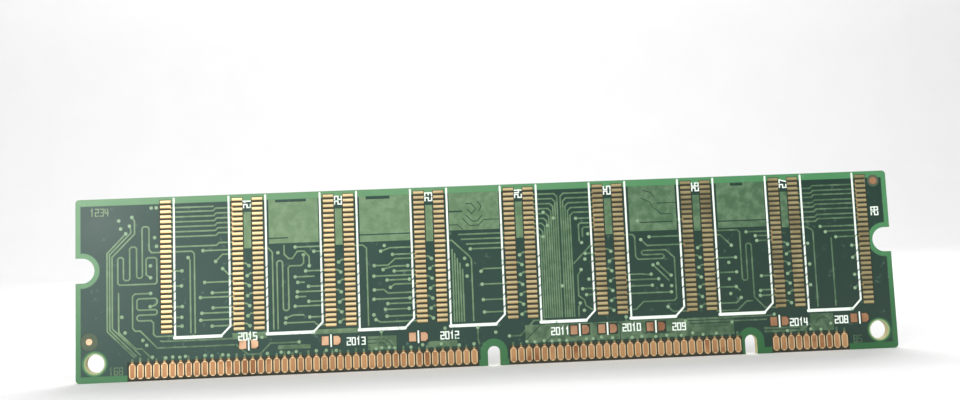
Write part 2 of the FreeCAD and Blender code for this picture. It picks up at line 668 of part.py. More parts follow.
def via_wires(radius):
    return [circle(x, z, radius) for x, z in via_places()]


def plane_face():
    """Outline of the inner copper, pulled back from every edge and notch."""
    left, right = PLANE_END_INSET, LENGTH - PLANE_END_INSET
    sheet = join([
        patch(left, PLANE_LOW, right, HEIGHT - PLANE_TOP_INSET),
        patch(left, PLANE_END_LOW, PLANE_END_REACH, PLANE_LOW),
        patch(LENGTH - PLANE_END_REACH, PLANE_END_LOW, right, PLANE_LOW),
    ])
    cutters = latch_slot(-1, PLANE_END_INSET) + latch_slot(1, PLANE_END_INSET)
    for key in KEYS:
        cutters += key_slot(key, KEY_CLEAR)
    for x, z, _, clear in FIDUCIALS:
        cutters.append(disc(x, z, clear))
    return sheet.cut(cutters).Faces[0]


def chip_pad_faces():
    faces = []
    for centre in chip_centres():
        for side in (-1, 1):
            x = centre + side * CHIP_PAD_OFFSET
            for z in lead_levels():
                faces.append(patch(x - CHIP_PAD[0] / 2, z - CHIP_PAD[1] / 2, x + CHIP_PAD[0] / 2,
                                   z + CHIP_PAD[1] / 2))
    return faces


def lead_levels():
    low = CHIP_Z - LEAD_PITCH * (LEADS_PER_SIDE - 1) / 2
    return [low + index * LEAD_PITCH for index in range(LEADS_PER_SIDE)]


def chip_windows():
    """Mask openings, one per column of pads."""
    half_x = CHIP_PAD[0] / 2 + MASK_MARGIN
    low = lead_levels()[0] - CHIP_PAD[1] / 2 - MASK_MARGIN
    high = lead_levels()[-1] + CHIP_PAD[1] / 2 + MASK_MARGIN
    windows = []
    for centre in chip_centres():
        for side in (-1, 1):
            x = centre + side * CHIP_PAD_OFFSET
            windows.append(patch(x - half_x, low, x + half_x, high))
    return windows


def contact_faces():
    """Edge contacts: strips with round ends."""
    half = CONTACT_WIDTH / 2
    return [track([(x, CONTACT_LOW + half), (x, CONTACT_TOP - half)], CONTACT_WIDTH)
            for x in contact_places()]


def contact_windows():
    windows = []
    for first, count in CONTACT_GROUPS:
        last = first + (count - 1) * CONTACT_PITCH
        windows.append(patch(first - CONTACT_WINDOW_SIDE, -OVERRUN, last + CONTACT_WINDOW_SIDE,
                             CONTACT_WINDOW_TOP))
    return windows


def neck_tracks():
    """Short tracks of three lengths that lead up from the contacts."""
    necks = []
    for index, x in enumerate(contact_places()):
        top = NECK_TOPS[index % len(NECK_TOPS)]
        necks.append(track([(x, CONTACT_TOP - NECK_OVERLAP), (x, top)], NECK_WIDTH))
    return necks


def capacitor_pad_faces(centres, pointed):
    """Pads of a row of capacitors; on the back the right pad of each pair has its outer corners cut."""
    faces = []
    width, height = CAPACITOR_PAD
    low = CAPACITOR_Z - height / 2
    high = CAPACITOR_Z + height / 2
    cut = CAPACITOR_PAD_CUT
    for centre in centres:
        left = centre - CAPACITOR_PAD_OFFSET
        right = centre + CAPACITOR_PAD_OFFSET
        faces.append(patch(left - width / 2, low, left + width / 2, high))
        if pointed:
            x0 = right - width / 2
            x1 = right + width / 2
            faces.append(area([(x0, low), (x1 - cut, low), (x1, low + cut), (x1, high - cut),
                               (x1 - cut, high), (x0, high)]))
        else:
            faces.append(patch(right - width / 2, low, right + width / 2, high))
    return faces


def capacitor_windows(centres, margin=MASK_MARGIN):
    windows = []
    half_x = CAPACITOR_PAD[0] / 2 + margin
    half_z = CAPACITOR_PAD[1] / 2 + margin
    for centre in centres:
        for side in (-1, 1):
            x = centre + side * CAPACITOR_PAD_OFFSET
            windows.append(patch(x - half_x, CAPACITOR_Z - half_z, x + half_x, CAPACITOR_Z + half_z))
    return windows


# ---- laminate, planes and vias ------------------------------------------------------------------
def edge_bevels():
    """Prisms that take the sharp corners off the contact edge, on both faces of the board."""
    prisms = []
    for side in (-1, 1):
        face_y = side * Y_LAMINATE
        corners = [
            V(-LENGTH, face_y + side, -1.0),
            V(-LENGTH, face_y - side * EDGE_BEVEL_DEPTH, -0.001),
            V(-LENGTH, face_y, EDGE_BEVEL_HEIGHT),
            V(-LENGTH, face_y + side, EDGE_BEVEL_HEIGHT),
        ]
        profile = Part.Face(Part.makePolygon(corners + corners[:1]))
        prisms.append(profile.extrude(V(2 * LENGTH, 0, 0)))
    return prisms


def make_planes():
    """Each plane is open round the holes and round each via that doesn't join it."""
    sheet = plane_face()
    planes = []
    for name, low, high, parity in (("ground_plane", -Y_PREPREG, -Y_CORE, 0),
                                    ("power_plane", Y_CORE, Y_PREPREG, 1)):
        wires = hole_wires(PLANE_HOLE_RING)
        for index, (x, z) in enumerate(via_places()):
            joined = index % VIA_TURNS == parity
            wires.append(circle(x, z, VIA_DRILL if joined else ANTIPAD))
        planes.append(layer(with_holes(sheet, wires), low, high))
        save(name, planes[-1])
    return planes


def make_laminates():
    """The core between the planes, and a prepreg over each plane that fills its gaps."""
    ground, power = make_planes()
    face = with_holes(board_face(), hole_wires(HOLE_RADIUS) + via_wires(VIA_DRILL))
    bevels = edge_bevels()
    save("core_laminate", layer(face, -Y_CORE, Y_CORE))
    save("prepreg_back", layer(face, -Y_LAMINATE, -Y_CORE).cut([ground] + bevels))
    save("prepreg_front", layer(face, Y_CORE, Y_LAMINATE).cut([power] + bevels))


def make_vias():
    reach = Y_LAMINATE + COPPER
    barrels = []
    for x, z in via_places():
        ring = Part.makeFace([circle(x, z, VIA_DRILL), circle(x, z, VIA_BORE)], "Part::FaceMakerBullseye")
        barrels += layer(ring, -reach, reach).Solids
    save("vias", Part.makeCompound(barrels))


# ---- the back -----------------------------------------------------------------------------------
def back_windows():
    windows = chip_windows() + contact_windows() + capacitor_windows(BACK_CAPACITORS)
    windows += [disc(x, z, clear) for x, z, _, clear in FIDUCIALS]
    return windows


def make_mask(name, windows, copper, ink, side):
    """Mask on one face of the board: it fills round the copper and rises a little where it covers it."""
    face = with_holes(board_face(), hole_wires(HOLE_MASK_RADIUS)).cut(windows)
    flat = layer(face, *sorted((side * Y_LAMINATE, side * Y_MASK)))
    flat = flat.cut(layer(copper, *sorted((side * Y_LAMINATE, side * (Y_LAMINATE + COPPER)))))
    risen = layer(copper.cut(windows + ink.Faces), *sorted((side * Y_MASK, side * (Y_MASK + MASK_RISE))))
    save(name, Part.makeCompound(flat.Solids + risen.Solids))


def make_back():
    contacts = contact_faces()
    chip_pads = chip_pad_faces()
    capacitor_pads = capacitor_pad_faces(BACK_CAPACITORS, True)

    rings = [disc(x, z, VIA_RING) for x, z in via_places()]
    pours = [patch(*corners) for corners in POURS]
    low, high = GAP_POUR
    pours += [patch(x - GAP_WIDTH / 2, low, x + GAP_WIDTH / 2, high) for x in gap_centres()]
    gaps = [patch(*corners) for corners in SLOTS] + [track(points, SLOT_LINE) for points in SLOT_LINES]
    gaps += capacitor_windows(BACK_CAPACITORS, MASK_MARGIN + CAPACITOR_CLEAR)
    pours = join(pours).cut(gaps)
    copper = join(pours.Faces + back_tracks() + rings + neck_tracks())
    copper = copper.cut(chip_pads + contacts + capacitor_pads)
    drilled = copper.cut([disc(x, z, VIA_DRILL) for x, z in via_places()])
    save("copper_back", layer(drilled, -Y_LAMINATE - COPPER, -Y_LAMINATE))

    pad_low = -Y_LAMINATE - PAD
    save("contacts_back", layer(Part.makeCompound(contacts), pad_low, -Y_LAMINATE))
    save("chip_pads_back", layer(Part.makeCompound(chip_pads), pad_low, -Y_LAMINATE))
    save("capacitor_pads_back", layer(Part.makeCompound(capacitor_pads), pad_low, -Y_LAMINATE))
    dots = Part.makeCompound([disc(x, z, radius) for x, z, radius, _ in FIDUCIALS])
    save("fiducials", layer(dots, pad_low, -Y_LAMINATE))

    ink = back_silk()
    save("silkscreen_back", layer(ink, -Y_MASK - INK, -Y_MASK))
    make_mask("solder_mask_back", back_windows(), copper, ink, -1)


# ---- printed lines ------------------------------------------------------------------------------
# strokes of each numeral in a cell one wide and two high
NUMERALS = {
    "0": [[(0, 0), (1, 0), (1, 2)], [(1, 2), (0, 2), (0, 0)]],
    "1": [[(0.2, 1.6), (0.5, 2), (0.5, 0)]],
    "2": [[(0, 2), (1, 2), (1, 1), (0, 1), (0, 0), (1, 0)]],
    "3": [[(0, 2), (1, 2), (1, 0), (0, 0)], [(0.3, 1), (1, 1)]],
    "4": [[(0, 2), (0, 0.8), (1, 0.8)], [(0.8, 2), (0.8, 0)]],
    "5": [[(1, 2), (0, 2), (0, 1), (1, 1), (1, 0), (0, 0)]],
    "6": [[(1, 2), (0, 2), (0, 0)], [(0, 0), (1, 0), (1, 1), (0, 1)]],
    "7": [[(0, 2), (1, 2), (0.4, 0)]],
    "8": [[(0, 0), (1, 0), (1, 2)], [(1, 2), (0, 2), (0, 0)], [(0, 1), (1, 1)]],
    "9": [[(0, 0), (1, 0), (1, 2)], [(1, 2), (0, 2), (0, 1), (1, 1)]],
}


def numeral_strokes(text, x, z, upright, stroke=DIGIT_STROKE):
    """Strokes of a number whose first numeral has its low left corner at (x, z); it may run upwards."""
    width, height = DIGIT
    strokes = []
    for place, numeral in enumerate(text):
        for path in NUMERALS[numeral]:
            spots = []
            for u, w in path:
                across = place * DIGIT_PITCH + u * width
                up = w * height / 2
                spots.append((x + across, z + up) if upright else (x - up, z + across))
            strokes.append(track(spots, stroke))
    return strokes


def footprint_outline(centre):
    """The printed outline between two columns of pads, with one corner cut."""
    left = centre - OUTLINE_HALF
    right = centre + OUTLINE_HALF
    low = OUTLINE_LOW
    return [
        track([(left, low), (left, OUTLINE_HIGH)], SILK),
        track([(right, low + OUTLINE_CUT), (right, OUTLINE_HIGH)], SILK),
        track([(left - SILK / 3, low), (right - OUTLINE_CUT, low)], SILK_BAR),
        track([(right - OUTLINE_CUT, low), (right, low + OUTLINE_CUT)], SILK),
    ]


def outline_breaks(centre):
    """Thin slanting cuts in the outline's uprights, where the print skips over the tracks below."""
    cuts = []
    for x, levels in ((centre - OUTLINE_HALF, LEFT_BREAKS), (centre + OUTLINE_HALF, RIGHT_BREAKS)):
        for z in levels:
            cuts.append(track([(x - SILK, z - SILK), (x + SILK, z + SILK)], BREAK_WIDTH))
    return cuts


# numbers beside the capacitors' pads, each with its low left corner
CAPACITOR_LABELS = (
    ("2015", 25.8, 5.8), ("2013", 43.1, 4.3), ("2012", 58.2, 4.6), ("2011", 76.2, 4.5), ("2010", 87.9, 4.6),
    ("209", 96.1, 4.4), ("2014", 115.6, 4.3), ("208", 123.1, 4.4),
)
CHIP_LABEL_Z = 27.0
CHIP_LABEL_FIRST = 21
LAST_CHIP_LABEL = (131.6, 21.9)


def back_silk():
    strokes = []
    cuts = []
    for centre in chip_centres():
        strokes += footprint_outline(centre)
        cuts += outline_breaks(centre)
    places = [(x + DIGIT[1] / 2, CHIP_LABEL_Z) for x in gap_centres()] + [LAST_CHIP_LABEL]
    for index, (x, z) in enumerate(places):
        strokes += numeral_strokes(str(CHIP_LABEL_FIRST + index), x, z, False)
    for centre in BACK_CAPACITORS:
        strokes.append(track([(centre, CAPACITOR_Z - TICK_HALF), (centre, CAPACITOR_Z + TICK_HALF)], TICK))
    for text, x, z in CAPACITOR_LABELS:
        strokes += numeral_strokes(text, x, z, True)
    return join(strokes).cut(cuts)


# ---- the component side -------------------------------------------------------------------------
def network_centres():
    return [centre + offset for centre in chip_centres() for offset in NETWORK_OFFSETS]


def network_columns(centre):
    return [centre + (index - 1.5) * NETWORK_PITCH for index in range(4)]


def network_pad_faces():
    faces = []
    for centre in network_centres():
        for x in network_columns(centre):
            for side in (-1, 1):
                z = NETWORK_Z + side * NETWORK_PAD_OFFSET
                faces.append(patch(x - NETWORK_PAD[0] / 2, z - NETWORK_PAD[1] / 2,
                                   x + NETWORK_PAD[0] / 2, z + NETWORK_PAD[1] / 2))
    return faces


def eeprom_pad_faces():
    faces = []
    for index in range(4):
        x = EEPROM_X + (index - 1.5) * EEPROM_PITCH
        for side in (-1, 1):
            z = EEPROM_Z + side * EEPROM_PAD_OFFSET
            faces.append(patch(x - EEPROM_PAD[0] / 2, z - EEPROM_PAD[1] / 2,
                               x + EEPROM_PAD[0] / 2, z + EEPROM_PAD[1] / 2))
    return faces


def front_windows():
    windows = chip_windows() + contact_windows() + capacitor_windows(gap_centres())
    half_x = 1.5 * NETWORK_PITCH + NETWORK_PAD[0] / 2 + MASK_MARGIN
    half_z = NETWORK_PAD[1] / 2 + MASK_MARGIN / 2
    for centre in network_centres():
        for side in (-1, 1):
            z = NETWORK_Z + side * NETWORK_PAD_OFFSET
            windows.append(patch(centre - half_x, z - half_z, centre + half_x, z + half_z))
    half_x = 1.5 * EEPROM_PITCH + EEPROM_PAD[0] / 2 + MASK_MARGIN
    half_z = EEPROM_PAD[1] / 2 + MASK_MARGIN
    for side in (-1, 1):
        z = EEPROM_Z + side * EEPROM_PAD_OFFSET
        windows.append(patch(EEPROM_X - half_x, z - half_z, EEPROM_X + half_x, z + half_z))
    return windows


def front_tracks():
    """Tracks from the contacts to the resistor networks, and from the networks up to the chips."""
    faces = []
    contacts = contact_places()
    for centre in network_centres():
        for x in network_columns(centre):
            foot = min(contacts, key=lambda place: abs(place - x))
            high, low = NETWORK_BENDS
            faces.append(track([(x, NETWORK_Z - NETWORK_PAD_OFFSET), (x, high), (foot, low),
                                (foot, CONTACT_TOP - NECK_OVERLAP)], TRACE))
            faces.append(track([(x, NETWORK_Z + NETWORK_PAD_OFFSET), (x, CHIP_EDGE_Z)], FINE_TRACE))
    return faces


def make_front():
    contacts = contact_faces()
    pads = chip_pad_faces()
    passive = capacitor_pad_faces(gap_centres(), False) + network_pad_faces() + eeprom_pad_faces()
    rings = [disc(x, z, VIA_RING) for x, z in via_places()]
    low, high = GAP_POUR
    pours = [patch(x - GAP_WIDTH / 2, low, x + GAP_WIDTH / 2, high) for x in gap_centres()]
    copper = join(pours + front_tracks() + rings + neck_tracks())
    copper = copper.cut(pads + contacts + passive)
    drilled = copper.cut([disc(x, z, VIA_DRILL) for x, z in via_places()])
    save("copper_front", layer(drilled, Y_LAMINATE, Y_LAMINATE + COPPER))

    pad_high = Y_LAMINATE + PAD
    save("contacts_front", layer(Part.makeCompound(contacts), Y_LAMINATE, pad_high))
    save("chip_pads_front", layer(Part.makeCompound(pads), Y_LAMINATE, pad_high))
    save("passive_pads_front", layer(Part.makeCompound(passive), Y_LAMINATE, pad_high))

    strokes = []
    for centre in chip_centres():
        strokes += footprint_outline(centre)
    for x in gap_centres():
        ends = [(x - FRONT_TICK_HALF, FRONT_TICK_Z), (x + FRONT_TICK_HALF, FRONT_TICK_Z)]
        strokes.append(track(ends, TICK))
    ink = join(strokes)
    save("silkscreen_front", layer(ink, Y_MASK, Y_MASK + INK))
    make_mask("solder_mask_front", front_windows(), copper, ink, 1)


# ---- packages -----------------------------------------------------------------------------------
SEAT = Y_LAMINATE + PAD
SOLDER = 0.02
# the solder past the end of a foot, as (reach, rise) from its lowest corner up to the foot
WEDGE_TOE = ((0.45, 0.0), (0.30, 0.03), (0.0, 0.10))
WEDGE_SIDES = (0.04, 0.06)


def lead_profile(tip, inner, foot, seat, rise):
    """Gull-wing profile: the foot ends at tip, the lead enters the package and stops at inner."""
    middle = LEAD_THICK / 2
    path = [(tip, seat + middle), (tip - foot, seat + middle), (tip - foot - LEAD_SLOPE, rise), (inner, rise)]
    left, right = sides(path, middle)
    corners = left + right[::-1]
    return [V(x, y, 0) for x, y in corners]


def lead_solid(profile, width, along):
    """Lead of the given width, centred at height along."""
    wire = Part.makePolygon(profile + profile[:1])
    face = Part.Face(wire)
    face.translate(V(0, 0, along - width / 2))
    return face.extrude(V(0, 0, width))


def moulding(width, height, low, thick, draft):
    """Moulded package centred on the Y axis line, drafted away from its parting plane."""
    middle = low + thick / 2
    wires = []
    for y, shrink in ((low, draft), (middle, 0.0), (low + thick, draft)):
        half_x = width / 2 - shrink
        half_z = height / 2 - shrink
        corners = [V(-half_x, y, -half_z), V(half_x, y, -half_z), V(half_x, y, half_z),
                   V(-half_x, y, half_z)]
        wires.append(Part.makePolygon(corners + corners[:1]))
    return Part.makeLoft(wires, True, True)


def dimple(shape, top):
    """Cutter for the round mark beside lead 1 of a package whose top is at the given level."""
    radius, x, z = shape
    return Part.makeCylinder(radius, 2 * DIMPLE_DEPTH, V(x, top - DIMPLE_DEPTH, z), V(0, 1, 0))


def memory_chip():
    """Package, leads and die of one memory chip, centred on X = 0 and Z = 0."""
    seat = SEAT + SOLDER
    low = seat + CHIP_STANDOFF
    rise = low + CHIP_THICK / 2
    profile = lead_profile(CHIP_SPAN / 2, CHIP_LEAD_INNER, LEAD_FOOT, seat, rise)
    leads = []
    for z in lead_levels():
        lead = lead_solid(profile, LEAD_WIDTH, z - CHIP_Z)
        leads.append(lead)
        leads.append(lead.mirror(V(0, 0, 0), V(1, 0, 0)))
    leads = Part.makeCompound(leads)
    die = box(-DIE[0] / 2, DIE[0] / 2, rise - DIE_THICK / 2, rise + DIE_THICK / 2, -DIE[1] / 2, DIE[1] / 2)
    body = moulding(CHIP_BODY[0], CHIP_BODY[1], low, CHIP_THICK, CHIP_DRAFT)
    return body.cut([leads, die, dimple(CHIP_DIMPLE, low + CHIP_THICK)]), leads, die


def eeprom():
    """Package, leads and die of the eeprom, its long side along Z, centred on X = 0 and Z = 0."""
    seat = SEAT + SOLDER
    low = seat + EEPROM_STANDOFF
    rise = low + EEPROM_THICK / 2
    profile = lead_profile(EEPROM_SPAN / 2, EEPROM_LEAD_INNER, EEPROM_LEAD_FOOT, seat, rise)
    leads = []
    for index in range(4):
        lead = lead_solid(profile, EEPROM_LEAD_WIDTH, (index - 1.5) * EEPROM_PITCH)
        leads.append(lead)
        leads.append(lead.mirror(V(0, 0, 0), V(1, 0, 0)))
    leads = Part.makeCompound(leads)
    half_x, half_z = EEPROM_DIE[0] / 2, EEPROM_DIE[1] / 2
    die = box(-half_x, half_x, rise - DIE_THICK / 2, rise + DIE_THICK / 2, -half_z, half_z)
    body = moulding(EEPROM_BODY[1], EEPROM_BODY[0], low, EEPROM_THICK, EEPROM_DRAFT)
    return body.cut([leads, die, dimple(EEPROM_DIMPLE, low + EEPROM_THICK)]), leads, die


def placed(shape, distance, z, turn=0):
    copy = shape.copy()
    copy.rotate(V(0, 0, 0), V(0, 1, 0), turn)
    copy.translate(V(board_x(distance), 0, z))
    return copy


def solder_wedge(tip, foot, width, along):
    """Solder under a foot and up its toe."""
    profile = [V(tip - foot, SEAT, 0)]
    profile += [V(tip + reach, SEAT + rise, 0) for reach, rise in WEDGE_TOE]
    profile += [V(tip, SEAT + SOLDER, 0), V(tip - foot, SEAT + SOLDER, 0)]
    return lead_solid(profile, width, along)


def make_packages():
    package, leads, die = memory_chip()
    wedges = []
    for z in lead_levels():
        wedge = solder_wedge(CHIP_SPAN / 2, LEAD_FOOT, LEAD_WIDTH + WEDGE_SIDES[0], z - CHIP_Z)
        wedges.append(wedge)
        wedges.append(wedge.mirror(V(0, 0, 0), V(1, 0, 0)))
    wedges = Part.makeCompound(wedges)
    joints = []
    for index, centre in enumerate(chip_centres()):
        number = str(index + 1)
        save("memory_chip_" + number, placed(package, centre, CHIP_Z))
        save("chip_leads_" + number, placed(leads, centre, CHIP_Z))
        save("chip_die_" + number, placed(die, centre, CHIP_Z))
        joints += placed(wedges, centre, CHIP_Z).Solids

    package, leads, die = eeprom()
    save("eeprom_package", placed(package, EEPROM_X, EEPROM_Z, 90))
    save("eeprom_leads", placed(leads, EEPROM_X, EEPROM_Z, 90))
    save("eeprom_die", placed(die, EEPROM_X, EEPROM_Z, 90))
    for index in range(4):
        along = (index - 1.5) * EEPROM_PITCH
        width = EEPROM_LEAD_WIDTH + WEDGE_SIDES[1]
        wedge = solder_wedge(EEPROM_SPAN / 2, EEPROM_LEAD_FOOT, width, along)
        for turn in (90, -90):
            joints.append(placed(wedge, EEPROM_X, EEPROM_Z, turn))
    save("solder_joints", Part.makeCompound(joints + passive_joints()))


def make_passives():
    length, width, tall = CAPACITOR
    half = length / 2
    seat = SEAT + SOLDER
    bodies, caps = [], []
    for centre in gap_centres():
        x = board_x(centre)
        z0 = CAPACITOR_Z - width / 2
        z1 = CAPACITOR_Z + width / 2
        inner = half - CAPACITOR_CAP
        bodies.append(box(x - inner, x + inner, seat + BODY_INSET, seat + tall - BODY_INSET,
                          z0 + BODY_INSET, z1 - BODY_INSET))
        caps.append(box(x - half, x - inner, seat, seat + tall, z0, z1))
        caps.append(box(x + inner, x + half, seat, seat + tall, z0, z1))
    caps = [rounded(cap, CAPACITOR_ROUND) for cap in caps]
    save("decoupling_capacitors", Part.makeCompound(bodies))
    save("capacitor_terminals", Part.makeCompound(caps))

    length, width, tall = NETWORK
    wide, deep = NETWORK_TERMINAL
    bodies, ends = [], []
    for centre in network_centres():
        x = board_x(centre)
        body = box(x - length / 2, x + length / 2, seat + BODY_INSET, seat + tall, NETWORK_Z - width / 2,
                   NETWORK_Z + width / 2)
        feet = []
        for column in network_columns(centre):
            for side in (-1, 1):
                edge = NETWORK_Z + side * (width / 2 + BODY_INSET)
                low, high = sorted((edge, edge - side * deep))
                foot_x = board_x(column)
                feet.append(box(foot_x - wide / 2, foot_x + wide / 2, seat, seat + tall + BODY_INSET,
                                low, high))
        bodies.append(body.cut(feet))
        ends += feet
    save("resistor_networks", Part.makeCompound(bodies))
    save("resistor_network_terminals", Part.makeCompound(ends))


def rounded(block, radius):
    return block.makeFillet(radius, block.Edges)


def passive_joints():
    """Thin solder under the capacitors' end caps and the networks' terminals."""
    joints = []
    half = CAPACITOR[0] / 2
    for centre in gap_centres():
        x = board_x(centre)
        for side in (-1, 1):
            low, high = sorted((x + side * (half - CAPACITOR_CAP), x + side * (half + JOINT_REACH[0])))
            joints.append(box(low, high, SEAT, SEAT + SOLDER, CAPACITOR_Z - JOINT_HALF,
                              CAPACITOR_Z + JOINT_HALF))
    for centre in network_centres():
        for column in network_columns(centre):
            x = board_x(column)
            for side in (-1, 1):
                edge = NETWORK_Z + side * (NETWORK[1] / 2 + BODY_INSET)
                low, high = sorted((edge - side * NETWORK_TERMINAL[1], edge + side * JOINT_REACH[1]))
                joints.append(box(x - NETWORK_JOINT_HALF, x + NETWORK_JOINT_HALF, SEAT, SEAT + SOLDER,
                                  low, high))
    return joints


make_laminates()
make_vias()
make_back()
make_front()
make_packages()
make_passives()
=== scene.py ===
import bpy
import math
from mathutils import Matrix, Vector


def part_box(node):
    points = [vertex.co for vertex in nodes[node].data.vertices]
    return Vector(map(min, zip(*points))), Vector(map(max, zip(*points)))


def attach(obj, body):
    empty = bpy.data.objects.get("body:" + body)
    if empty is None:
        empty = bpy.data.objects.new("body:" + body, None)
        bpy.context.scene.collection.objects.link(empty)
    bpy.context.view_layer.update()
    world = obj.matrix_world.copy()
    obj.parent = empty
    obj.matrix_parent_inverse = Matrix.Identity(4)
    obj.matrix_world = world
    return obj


# A memory module.  Lengths are in metres, in the module's own frame: X along the board, Z up from the
# contact edge, Y through the board, with the bare back towards -Y and the chips towards +Y.

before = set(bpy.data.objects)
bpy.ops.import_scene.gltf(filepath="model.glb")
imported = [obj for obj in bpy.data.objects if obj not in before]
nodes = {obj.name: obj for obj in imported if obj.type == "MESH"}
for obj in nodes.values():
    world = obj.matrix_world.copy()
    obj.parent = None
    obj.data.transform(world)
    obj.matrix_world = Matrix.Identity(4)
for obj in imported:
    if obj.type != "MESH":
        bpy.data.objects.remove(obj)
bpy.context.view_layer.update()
MM = 0.001

# ---- sizes read from the frame -------------------------------------------------------------------
BOARD_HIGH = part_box("core_laminate")[1]
PLANE_LOW, PLANE_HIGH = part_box("ground_plane")
MASK_FLAT = -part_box("silkscreen_back")[1].y
MASK_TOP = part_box("solder_mask_front")[1].y
CONTACT_LOW, CONTACT_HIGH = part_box("contacts_back")
PAD_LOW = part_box("chip_pads_back")[0]

# ---- sizes of the module -------------------------------------------------------------------------
BOARD_HALF = BOARD_HIGH.x
BOARD_TOP = BOARD_HIGH.z
EDGE_RIM = BOARD_HALF - PLANE_HIGH.x
TOP_RIM = BOARD_TOP - PLANE_HIGH.z
CONTACT_PITCH = 1.27 * MM
CONTACT_HALF = 0.51 * MM
# From and to distance from a contact's edge of its painted highlight.
CONTACT_PAINTED_HIGHLIGHT_RIM = (0.20 * MM, 0.09 * MM)
LEAD_PITCH = 0.8 * MM
LATCH_Z = 17.78 * MM
LATCH_RADIUS = 2.0 * MM
LATCH_CENTRE = BOARD_HALF - 1.0 * MM
HOLE_X = BOARD_HALF - 3.0 * MM
HOLE_Z = 3.0 * MM
HOLES = ((-HOLE_X, HOLE_Z), (HOLE_X, HOLE_Z))
HOLE_RING = 2.0 * MM
KEYS = (0.0, 42.18 * MM)
KEY_Z = 2.1 * MM
KEY_RING = 2.2 * MM
FIDUCIALS = ((-64.575 * MM, 6.5 * MM), (64.525 * MM, 27.6 * MM))
FIDUCIAL_REACH = 1.6 * MM
VIA_REACH = 0.27 * MM
VIA_RISE = 0.020 * MM
VIA_STEPS = 20
# Rows of a via's dome, from the foot to the dimple: share of its reach and share of its rise.
VIA_ROWS = ((1.0, -0.5), (0.92, 0.35), (0.70, 0.9), (0.42, 0.95), (0.20, 0.75))
WEAVE_X = 0.55 * MM
WEAVE_Z = 0.62 * MM
RIM_SOFT = 0.08 * MM
RING_SOFT = 0.1 * MM

# ---- where the looks change ----------------------------------------------------------------------
# Each pair is the start and the end of a soft change, along the board, up it or through it.
MASK_LIFT = ((MASK_TOP + MASK_FLAT) / 2 - 0.003 * MM, (MASK_TOP + MASK_FLAT) / 2 + 0.001 * MM)
# Painted shade of the lacquer: darker towards the right end of the board.
MASK_PAINTED_SHADE_X = (-50 * MM, 55 * MM)
# Painted shade of the mint rim: darker low on the board.
MINT_PAINTED_SHADE_Z = (2 * MM, 24 * MM)
# Painted shade of the lacquer over copper: darker low on the board.
LOW_COPPER_PAINTED_SHADE_Z = (7.5 * MM, 5.5 * MM)
# Painted shading of the contacts: brighter towards the right end.
CONTACT_PAINTED_SHADE_X = (-60 * MM, 10 * MM)
# Painted shade of the chip pads: duller, darker and more tarnished towards the right end.
PAD_PAINTED_SHADE_X = (-20 * MM, 40 * MM)
# Painted shade of the small parts' pads: darker towards the right end.
DULL_PAD_PAINTED_SHADE_X = (-50 * MM, 60 * MM)
# The levels of a noise between which a roughness changes.
NOISE_SPAN = (0.3, 0.7)

# ---- floor, lights and camera --------------------------------------------------------------------
FLOOR_DROP = 0.02 * MM
FLOOR_FRONT = 1.0
FLOOR_BACK = 0.75
WALL_BEND = 0.25
WALL_TOP = 1.2
WALL_HALF = 1.6
WALL_STEPS = 16
WORLD_LIGHT = 0.45
SENSOR_WIDTH = 36.0
LENS = 37.5
SHIFT_X = 0.0092
SHIFT_Y = -0.0544
CLIP_START = 0.005
CAMERA_PLACE = (-9.597 * MM, -164.666 * MM, 19.708 * MM)
CAMERA_TURN = (95.485, 2.249, -2.299)


